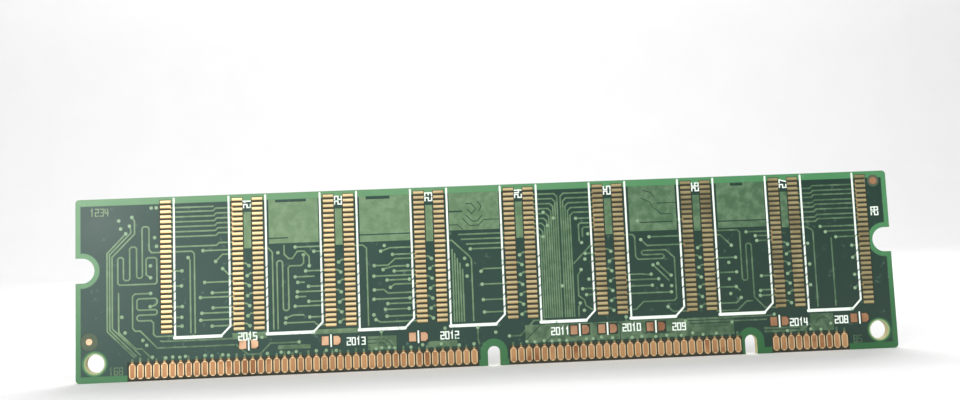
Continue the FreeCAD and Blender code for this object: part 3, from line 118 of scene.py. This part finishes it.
# ---- node helpers --------------------------------------------------------------------------------
class Sheet:
    """A material being built: short calls that add nodes and give back their outputs."""

    def __init__(self, name):
        self.material = bpy.data.materials.new(name)
        self.material.use_nodes = True
        self.tree = self.material.node_tree
        self.shader = self.tree.nodes["Principled BSDF"]
        coordinates = self.tree.nodes.new("ShaderNodeTexCoord")
        self.place = coordinates.outputs["Object"]
        split = self.tree.nodes.new("ShaderNodeSeparateXYZ")
        self.tree.links.new(self.place, split.inputs[0])
        self.x, self.y, self.z = split.outputs

    def put(self, socket, value):
        """Links an output to a socket, or sets the socket to a constant."""
        if isinstance(value, bpy.types.NodeSocket):
            self.tree.links.new(value, socket)
        else:
            socket.default_value = value

    def math(self, operation, a, b=0.0):
        node = self.tree.nodes.new("ShaderNodeMath")
        node.operation = operation
        for socket, value in zip(node.inputs, (a, b)):
            self.put(socket, value)
        return node.outputs[0]

    def part(self, value, share):
        """A constant share of a value."""
        return self.math("MULTIPLY", value, share)

    def ramp(self, value, low, high, to_low=0.0, to_high=1.0):
        """Value carried smoothly from low..high to to_low..to_high."""
        node = self.tree.nodes.new("ShaderNodeMapRange")
        node.interpolation_type = "SMOOTHSTEP"
        for name, entry in (("Value", value), ("From Min", low), ("From Max", high),
                            ("To Min", to_low), ("To Max", to_high)):
            self.put(node.inputs[name], entry)
        return node.outputs["Result"]

    def roughness(self, noise, low, high):
        """Roughness from low to high over the middle of a noise."""
        return self.ramp(noise, *NOISE_SPAN, low, high)

    def noise(self, scale, detail, stretch=(1.0, 1.0, 1.0)):
        """Noise from 0 to 1 in the module's frame; scale is in cells per metre."""
        scaled = self.tree.nodes.new("ShaderNodeMapping")
        self.put(scaled.inputs["Vector"], self.place)
        scaled.inputs["Scale"].default_value = stretch
        node = self.tree.nodes.new("ShaderNodeTexNoise")
        self.put(node.inputs["Vector"], scaled.outputs[0])
        node.inputs["Scale"].default_value = scale
        node.inputs["Detail"].default_value = detail
        return node.outputs["Fac"]

    def mix(self, factor, a, b):
        """Colour a where factor is 0 and b where it is 1."""
        node = self.tree.nodes.new("ShaderNodeMix")
        node.data_type = "RGBA"
        self.put(node.inputs["Factor"], factor)
        for name, value in (("A", a), ("B", b)):
            socket = [s for s in node.inputs if s.name == name and s.type == "RGBA"][0]
            self.put(socket, value if isinstance(value, bpy.types.NodeSocket) else (*value, 1.0))
        return [s for s in node.outputs if s.type == "RGBA"][0]

    def far(self, x, z):
        """Distance from (x, z) in the plane of the board."""
        dx = self.math("SUBTRACT", self.x, x)
        dz = self.math("SUBTRACT", self.z, z)
        squares = self.math("ADD", self.math("MULTIPLY", dx, dx), self.math("MULTIPLY", dz, dz))
        return self.math("SQRT", squares)

    def bump(self, height, distance, strength):
        node = self.tree.nodes.new("ShaderNodeBump")
        node.inputs["Strength"].default_value = strength
        node.inputs["Distance"].default_value = distance
        self.put(node.inputs["Height"], height)
        self.tree.links.new(node.outputs["Normal"], self.shader.inputs["Normal"])

    def finish(self, **values):
        """Sets the shader's sockets, named with _ for spaces, and gives back the material."""
        for name, value in values.items():
            socket = self.shader.inputs[name.replace("_", " ")]
            if isinstance(value, tuple) and len(value) == 3:
                value = (*value, 1.0)
            self.put(socket, value)
        return self.material


def srgb(red, green, blue):
    """Linear colour from 0..255 screen values."""
    values = []
    for level in (red, green, blue):
        share = level / 255
        values.append(share / 12.92 if share <= 0.04045 else ((share + 0.055) / 1.055) ** 2.4)
    return tuple(values)


# ---- materials -----------------------------------------------------------------------------------
def rim_share(sheet):
    """1 where no copper plane lies under the mask: along the edges and round the notches and holes."""
    from_end = sheet.math("SUBTRACT", BOARD_HALF, sheet.math("ABSOLUTE", sheet.x))
    rim = sheet.ramp(from_end, EDGE_RIM + RIM_SOFT, EDGE_RIM - RIM_SOFT)
    from_top = sheet.math("SUBTRACT", BOARD_TOP, sheet.z)
    top = sheet.ramp(from_top, TOP_RIM + RIM_SOFT, TOP_RIM - RIM_SOFT)
    rim = sheet.math("MAXIMUM", rim, top)
    foot = sheet.ramp(sheet.z, PLANE_LOW.z + RIM_SOFT, PLANE_LOW.z - RIM_SOFT)
    rim = sheet.math("MAXIMUM", rim, foot)
    rings = [(side * LATCH_CENTRE, LATCH_Z, LATCH_RADIUS + EDGE_RIM) for side in (-1, 1)]
    rings += [(x, z, HOLE_RING) for x, z in HOLES]
    rings += [(x, KEY_Z, KEY_RING) for x in KEYS]
    for x, z, radius in rings:
        ring = sheet.ramp(sheet.far(x, z), radius + RIM_SOFT, radius - RIM_SOFT)
        rim = sheet.math("MAXIMUM", rim, ring)
    low = sheet.ramp(sheet.z, KEY_Z + RIM_SOFT, KEY_Z - RIM_SOFT)
    for x in KEYS:
        across = sheet.math("ABSOLUTE", sheet.math("SUBTRACT", sheet.x, x))
        strip = sheet.ramp(across, KEY_RING + RIM_SOFT, KEY_RING - RIM_SOFT)
        rim = sheet.math("MAXIMUM", rim, sheet.math("MULTIPLY", strip, low))
    return rim


def glass_weave(sheet):
    """Faint grid of the glass cloth under the mask."""
    across = sheet.math("SINE", sheet.math("MULTIPLY", sheet.x, 2 * math.pi / WEAVE_X))
    up = sheet.math("SINE", sheet.math("MULTIPLY", sheet.z, 2 * math.pi / WEAVE_Z))
    return sheet.math("MULTIPLY", across, up)


def solder_mask():
    """Green lacquer: deep teal over the planes, mint over bare laminate, paler where it lies raised,
    with painted shade darker towards the right end and towards the bottom.
    """
    sheet = Sheet("solder mask")
    drift = sheet.noise(60.0, 2.0)
    fine = sheet.noise(900.0, 4.0)
    # Painted shade: every lacquer colour darkens towards the right end of the board.
    painted_shade = sheet.ramp(sheet.x, *MASK_PAINTED_SHADE_X)
    deep = sheet.mix(drift, srgb(20, 56, 46), srgb(32, 68, 58))
    deep = sheet.mix(painted_shade, deep, srgb(16, 50, 38))
    # Painted shade: the mint rim is darker low on the board.
    high = sheet.ramp(sheet.z, *MINT_PAINTED_SHADE_Z)
    mint = sheet.mix(drift, srgb(88, 134, 92), srgb(110, 154, 112))
    mint = sheet.mix(painted_shade, mint, srgb(72, 134, 86))
    low_mint = sheet.mix(painted_shade, srgb(60, 116, 72), srgb(40, 98, 54))
    mint = sheet.mix(high, low_mint, mint)
    colour = sheet.mix(rim_share(sheet), deep, mint)
    speckle = sheet.ramp(fine, 0.62, 0.80)
    colour = sheet.mix(sheet.part(speckle, 0.18), colour, srgb(150, 190, 160))
    over = sheet.mix(drift, srgb(92, 120, 84), srgb(112, 142, 104))
    over = sheet.mix(painted_shade, over, srgb(62, 96, 66))
    # Painted shade: the lacquer over copper is darker low on the board.
    low = sheet.ramp(sheet.z, *LOW_COPPER_PAINTED_SHADE_Z)
    over = sheet.mix(sheet.part(low, 0.7), over, srgb(48, 78, 52))
    mottle = sheet.ramp(fine, 0.35, 0.7)
    over = sheet.mix(sheet.part(mottle, 0.2), over, srgb(160, 190, 150))
    raised = sheet.ramp(sheet.math("ABSOLUTE", sheet.y), *MASK_LIFT)
    colour = sheet.mix(raised, colour, over)
    rough = sheet.roughness(sheet.noise(220.0, 3.0), 0.30, 0.42)
    height = sheet.math("ADD", sheet.part(glass_weave(sheet), 0.25), sheet.noise(1500.0, 2.0))
    sheet.bump(height, 0.006 * MM, 0.5)
    return sheet.finish(Base_Color=colour, Roughness=rough, Specular_IOR_Level=0.42,
                        Coat_Weight=0.2, Coat_Roughness=0.2)


def inside_any(sheet, places, reach):
    """1 within reach of any of the places in the plane of the board."""
    inside = 0.0
    for x, z in places:
        disc = sheet.ramp(sheet.far(x, z), reach, reach - RING_SOFT)
        inside = sheet.math("MAXIMUM", inside, disc)
    return inside


def laminate():
    """Glass and epoxy: dark where it shows between pads, partly its own colour and partly painted shade
    of the narrow gaps, pale and streaked along the cut edges.
    """
    sheet = Sheet("laminate")
    normal = sheet.tree.nodes.new("ShaderNodeNewGeometry").outputs["Normal"]
    split = sheet.tree.nodes.new("ShaderNodeSeparateXYZ")
    sheet.tree.links.new(normal, split.inputs[0])
    facing = sheet.ramp(sheet.math("ABSOLUTE", split.outputs[1]), 0.5, 0.8)
    fibres = sheet.noise(700.0, 5.0, (1.0, 9.0, 1.0))
    edge = sheet.mix(fibres, srgb(150, 142, 98), srgb(206, 198, 150))
    # Dark flat faces: partly the laminate's own colour, partly painted shade of the narrow gaps between
    # pads and contacts.
    flat = sheet.mix(sheet.noise(400.0, 3.0), srgb(34, 36, 24), srgb(58, 56, 36))
    flat = sheet.mix(inside_any(sheet, FIDUCIALS, FIDUCIAL_REACH), flat, srgb(78, 92, 72))
    flat = sheet.mix(inside_any(sheet, HOLES, HOLE_RING), flat, srgb(150, 170, 122))
    rough = sheet.roughness(fibres, 0.55, 0.8)
    sheet.bump(fibres, 0.02 * MM, 0.6)
    return sheet.finish(Base_Color=sheet.mix(facing, edge, flat), Roughness=rough)


def grid_offset(sheet, value, start, pitch):
    """Distance from the nearest line of a grid, from 0 to half the pitch."""
    turns = sheet.math("DIVIDE", sheet.math("SUBTRACT", value, start), pitch)
    within = sheet.math("SUBTRACT", sheet.math("FRACT", sheet.math("ADD", turns, 0.5)), 0.5)
    return sheet.math("MULTIPLY", sheet.math("ABSOLUTE", within), pitch)


def contact_gold():
    """Hard gold, wiped rosy down the middle by the socket, with a pale painted highlight along each
    contact's rim and painted shading brighter towards the right end.
    """
    sheet = Sheet("contact gold")
    across = grid_offset(sheet, sheet.x, CONTACT_LOW.x + CONTACT_HALF, CONTACT_PITCH)
    from_end = sheet.math("MINIMUM", sheet.math("SUBTRACT", CONTACT_HIGH.z, sheet.z),
                          sheet.math("SUBTRACT", sheet.z, CONTACT_LOW.z))
    within = sheet.math("MINIMUM", sheet.math("SUBTRACT", CONTACT_HALF, across), from_end)
    # Painted highlight: a pale band along each contact's rim.
    rim = sheet.ramp(within, *CONTACT_PAINTED_HIGHLIGHT_RIM)
    wiped = sheet.noise(900.0, 3.0, (1.0, 1.0, 0.12))
    # Painted shading: the rosy gold is brightened towards the right end of the board.
    painted_shade = sheet.ramp(sheet.x, *CONTACT_PAINTED_SHADE_X)
    rosy = sheet.mix(wiped, srgb(168, 116, 78), srgb(198, 152, 110))
    rosy = sheet.mix(painted_shade, rosy, srgb(206, 158, 112))
    stain = sheet.ramp(sheet.noise(240.0, 3.0), 0.45, 0.75)
    stained = sheet.mix(stain, rosy, srgb(156, 106, 72))
    colour = sheet.mix(rim, stained, srgb(240, 214, 170))
    rough = sheet.roughness(wiped, 0.28, 0.44)
    sheet.bump(wiped, 0.01 * MM, 0.5)
    return sheet.finish(Base_Color=colour, Roughness=rough, Metallic=0.85)


def pad_gold():
    """Thin pale gold on the chip pads: a painted highlight on the upper edge, tarnished in patches,
    with painted shade duller and darker towards the right end.
    """
    sheet = Sheet("pad gold")
    from_low = sheet.math("SUBTRACT", sheet.z, PAD_LOW.z)
    up = sheet.math("FRACT", sheet.math("DIVIDE", from_low, LEAD_PITCH))
    # Painted highlight: each pad is bright above and shaded on its lower edge.
    painted_highlight = sheet.ramp(up, 0.05, 0.30)
    patches = sheet.ramp(sheet.noise(150.0, 3.0), 0.35, 0.7)
    # Painted shade: the pads turn duller and darker, with more of their tarnish patches showing,
    # towards the right end.
    dull_and_painted_shade = sheet.ramp(sheet.x, *PAD_PAINTED_SHADE_X)
    most = sheet.math("ADD", sheet.part(dull_and_painted_shade, 0.55), 0.2)
    tarnish_and_painted_shade = sheet.math("MULTIPLY", patches, most)
    bright = sheet.mix(painted_highlight, srgb(192, 164, 112), srgb(236, 214, 164))
    bright = sheet.mix(sheet.part(dull_and_painted_shade, 0.6), bright, srgb(140, 138, 98))
    colour = sheet.mix(tarnish_and_painted_shade, bright, srgb(120, 110, 78))
    rough = sheet.roughness(sheet.noise(700.0, 3.0), 0.30, 0.48)
    sheet.bump(sheet.noise(1800.0, 2.0), 0.008 * MM, 0.6)
    return sheet.finish(Base_Color=colour, Roughness=rough, Metallic=0.75)


def bare_copper():
    """Pads of the small parts and the fiducials: the thin finish has dulled to a pinkish brown, with
    painted shade darker towards the right end.
    """
    sheet = Sheet("dull pad")
    # Painted shade: these pads are darker towards the right end of the board.
    painted_shade = sheet.ramp(sheet.x, *DULL_PAD_PAINTED_SHADE_X)
    light = sheet.mix(painted_shade, srgb(226, 184, 148), srgb(176, 132, 98))
    stain = sheet.ramp(sheet.noise(300.0, 3.0), 0.40, 0.75)
    colour = sheet.mix(stain, light, srgb(150, 104, 76))
    rough = sheet.roughness(sheet.noise(700.0, 3.0), 0.34, 0.50)
    sheet.bump(sheet.noise(1800.0, 2.0), 0.008 * MM, 0.6)
    return sheet.finish(Base_Color=colour, Roughness=rough, Metallic=0.7)


def tented_via():
    """Lacquer drawn thin over a via: glossier than the rest, and painted paler as a highlight on the
    dome.
    """
    sheet = Sheet("tented via")
    drift = sheet.noise(500.0, 3.0)
    # Painted highlight: the domes are paler than the lacquer round them.
    colour = sheet.mix(drift, srgb(112, 146, 110), srgb(148, 178, 142))
    rough = sheet.roughness(drift, 0.20, 0.32)
    sheet.bump(sheet.noise(2600.0, 2.0), 0.006 * MM, 0.5)
    return sheet.finish(Base_Color=colour, Roughness=rough, Specular_IOR_Level=0.6)


def white_ink():
    """Printed ink: nearly white, with thin and pitted places."""
    sheet = Sheet("white ink")
    worn = sheet.ramp(sheet.noise(1100.0, 4.0), 0.60, 0.74)
    colour = sheet.mix(worn, srgb(236, 246, 236), srgb(150, 186, 160))
    sheet.bump(sheet.noise(2200.0, 2.0), 0.01 * MM, 0.8)
    return sheet.finish(Base_Color=colour, Roughness=0.62)


def metal(name, dark, light, low, high, scale=500.0):
    """Plain metal with fine mottling."""
    sheet = Sheet(name)
    mottle = sheet.noise(scale, 3.0)
    rough = sheet.roughness(mottle, low, high)
    sheet.bump(sheet.noise(scale * 4, 2.0), 0.01 * MM, 0.5)
    return sheet.finish(Base_Color=sheet.mix(mottle, dark, light), Roughness=rough, Metallic=0.9)


def moulding():
    """Black epoxy of the chip packages: fine sparkle of filler, slightly polished in patches."""
    sheet = Sheet("moulding")
    grain = sheet.noise(3500.0, 3.0)
    wide = sheet.noise(160.0, 3.0)
    colour = sheet.mix(wide, srgb(30, 30, 32), srgb(44, 44, 46))
    sparkle = sheet.ramp(grain, 0.62, 0.72)
    colour = sheet.mix(sheet.part(sparkle, 0.3), colour, srgb(96, 96, 98))
    rough = sheet.roughness(wide, 0.42, 0.60)
    sheet.bump(grain, 0.012 * MM, 0.8)
    return sheet.finish(Base_Color=colour, Roughness=rough, Specular_IOR_Level=0.4)


def ceramic(name, dark, light):
    """Fired ceramic or glaze with a fine grain."""
    sheet = Sheet(name)
    grain = sheet.noise(1400.0, 4.0)
    rough = sheet.roughness(grain, 0.40, 0.62)
    sheet.bump(grain, 0.01 * MM, 0.6)
    return sheet.finish(Base_Color=sheet.mix(grain, dark, light), Roughness=rough)


def dress(names, material):
    """Gives CAD nodes one material."""
    for name in names:
        data = nodes[name].data
        data.materials.clear()
        data.materials.append(material)


# ---- objects -------------------------------------------------------------------------------------
def smooth_mesh(name, vertices, faces, material):
    """Mesh shaded smoothly all over, in one material."""
    mesh = bpy.data.meshes.new(name)
    mesh.from_pydata(vertices, [], faces)
    for face in mesh.polygons:
        face.use_smooth = True
    mesh.materials.append(material)
    return mesh


def add_object(name, data):
    """Puts a new object with this data in the scene."""
    thing = bpy.data.objects.new(name, data)
    bpy.context.scene.collection.objects.link(thing)
    return thing


# ---- pieces --------------------------------------------------------------------------------------
def via_centres():
    """Places of the vias in the plane of the board, from the loose tubes of their node."""
    mesh = nodes["vias"].data
    owner = list(range(len(mesh.vertices)))

    def chief(index):
        while owner[index] != index:
            index = owner[index]
        return index

    for edge in mesh.edges:
        first, second = chief(edge.vertices[0]), chief(edge.vertices[1])
        owner[max(first, second)] = min(first, second)
    tubes = {}
    for vertex in mesh.vertices:
        tubes.setdefault(chief(vertex.index), []).append(vertex.co)
    centres = []
    for spots in tubes.values():
        x = (min(spot.x for spot in spots) + max(spot.x for spot in spots)) / 2
        z = (min(spot.z for spot in spots) + max(spot.z for spot in spots)) / 2
        if all(math.dist((x, z), other) > VIA_REACH for other in centres):
            centres.append((x, z))
    return centres


def via_tents(name, centres, surface, side, material):
    """Low closed domes of lacquer with a dimple, one over each via."""
    last_row = len(VIA_ROWS) - 1
    vertices, faces = [], []
    for x, z in centres:
        base = len(vertices)
        for reach, rise in VIA_ROWS:
            for step in range(VIA_STEPS):
                turn = 2 * math.pi * step / VIA_STEPS
                vertices.append((x + VIA_REACH * reach * math.cos(turn),
                                 surface + side * VIA_RISE * rise,
                                 z + VIA_REACH * reach * math.sin(turn)))
        for row in range(last_row):
            low = base + row * VIA_STEPS
            high = low + VIA_STEPS
            for step in range(VIA_STEPS):
                following = (step + 1) % VIA_STEPS
                quad = [low + step, low + following, high + following, high + step]
                faces.append(quad if side < 0 else quad[::-1])
        foot = list(range(base, base + VIA_STEPS))
        crown = [index + last_row * VIA_STEPS for index in foot]
        faces.append(foot[::-1] if side < 0 else foot)
        faces.append(crown if side < 0 else crown[::-1])
    piece = add_object(name, smooth_mesh(name, vertices, faces, material))
    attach(piece, "root")


tents = via_centres()
lacquer = tented_via()
via_tents("via_tents_back", tents, -MASK_TOP, -1, lacquer)
via_tents("via_tents_front", tents, MASK_TOP, 1, lacquer)

dress(["solder_mask_back", "solder_mask_front"], solder_mask())
dress(["core_laminate", "prepreg_back", "prepreg_front"], laminate())
dress(["contacts_back", "contacts_front"], contact_gold())
dress(["chip_pads_back", "chip_pads_front"], pad_gold())
dress(["capacitor_pads_back", "passive_pads_front", "fiducials"], bare_copper())
dress(["silkscreen_back", "silkscreen_front"], white_ink())
dress(["copper_back", "copper_front"],
      metal("plated copper", srgb(150, 116, 76), srgb(206, 168, 118), 0.30, 0.45))
dress(["ground_plane", "power_plane", "vias"],
      metal("copper foil", srgb(150, 86, 52), srgb(204, 130, 88), 0.30, 0.45))
chips = [name for name in nodes if name.startswith("memory_chip_")]
leads = [name for name in nodes if name.startswith("chip_leads_")]
dies = [name for name in nodes if name.startswith("chip_die_")]
dress(chips + ["eeprom_package"], moulding())
dress(leads + ["eeprom_leads"],
      metal("tinned leads", srgb(150, 150, 146), srgb(206, 206, 200), 0.28, 0.42))
dress(dies + ["eeprom_die"],
      metal("silicon", srgb(84, 88, 100), srgb(120, 124, 136), 0.15, 0.25))
dress(["capacitor_terminals", "resistor_network_terminals"],
      metal("terminal tin", srgb(160, 160, 156), srgb(214, 214, 208), 0.30, 0.46))
dress(["solder_joints"],
      metal("solder", srgb(140, 142, 144), srgb(210, 212, 212), 0.20, 0.34, 900.0))
dress(["decoupling_capacitors"],
      ceramic("capacitor ceramic", srgb(150, 116, 82), srgb(186, 150, 112)))
dress(["resistor_networks"],
      ceramic("resistor glaze", srgb(20, 20, 24), srgb(40, 40, 46)))


# ---- floor, light and camera ---------------------------------------------------------------------
def backdrop():
    """A pale floor that curves up into a wall behind the board."""
    profile = [(-FLOOR_FRONT, 0.0), (FLOOR_BACK, 0.0)]
    for step in range(1, WALL_STEPS + 1):
        turn = math.pi / 2 * step / WALL_STEPS
        profile.append((FLOOR_BACK + WALL_BEND * math.sin(turn),
                        WALL_BEND - WALL_BEND * math.cos(turn)))
    profile.append((FLOOR_BACK + WALL_BEND, WALL_TOP))
    vertices = [(side * WALL_HALF, y, z - FLOOR_DROP) for y, z in profile for side in (-1, 1)]
    faces = [(2 * i, 2 * i + 1, 2 * i + 3, 2 * i + 2) for i in range(len(profile) - 1)]
    paper = Sheet("backdrop paper")
    tone = paper.mix(paper.noise(20.0, 2.0), (0.86, 0.86, 0.86), (0.90, 0.90, 0.90))
    material = paper.finish(Base_Color=tone, Roughness=0.9)
    screen = add_object("backdrop", smooth_mesh("backdrop", vertices, faces, material))


def area_light(name, place, aim, size, power):
    """Soft rectangular light at a place, aimed at a point."""
    light = bpy.data.lights.new(name, "AREA")
    light.shape = "RECTANGLE"
    light.size, light.size_y = size
    light.energy = power
    lamp = add_object(name, light)
    lamp.location = place
    lamp.rotation_euler = (Vector(aim) - Vector(place)).to_track_quat("-Z", "Y").to_euler()


def surroundings(strength):
    """Even white light from all round."""
    world = bpy.data.worlds.new("studio")
    world.use_nodes = True
    background = world.node_tree.nodes["Background"]
    background.inputs["Color"].default_value = (1.0, 1.0, 1.0, 1.0)
    background.inputs["Strength"].default_value = strength
    bpy.context.scene.world = world


def camera():
    """The photo's view of the bare back."""
    data = bpy.data.cameras.new("camera")
    data.sensor_width = SENSOR_WIDTH
    data.lens = LENS
    data.shift_x = SHIFT_X
    data.shift_y = SHIFT_Y
    data.clip_start = CLIP_START
    view = add_object("camera", data)
    view.location = CAMERA_PLACE
    view.rotation_euler = [math.radians(angle) for angle in CAMERA_TURN]
    bpy.context.scene.camera = view


middle = (0.0, 0.0, BOARD_TOP / 2)
backdrop()
area_light("key", (-0.30, -0.38, 0.16), middle, (0.30, 0.30), 1.9)
area_light("fill", (0.40, -0.30, 0.45), middle, (0.4, 0.4), 1.0)
area_light("back light", (0.10, 0.30, 0.50), middle, (0.5, 0.3), 1.5)
area_light("wall light", (0.0, 0.55, 0.75), (0.0, 1.0, 0.15), (1.6, 0.3), 4.5)
surroundings(WORLD_LIGHT)
camera()
bpy.context.scene.view_settings.view_transform = "Standard"
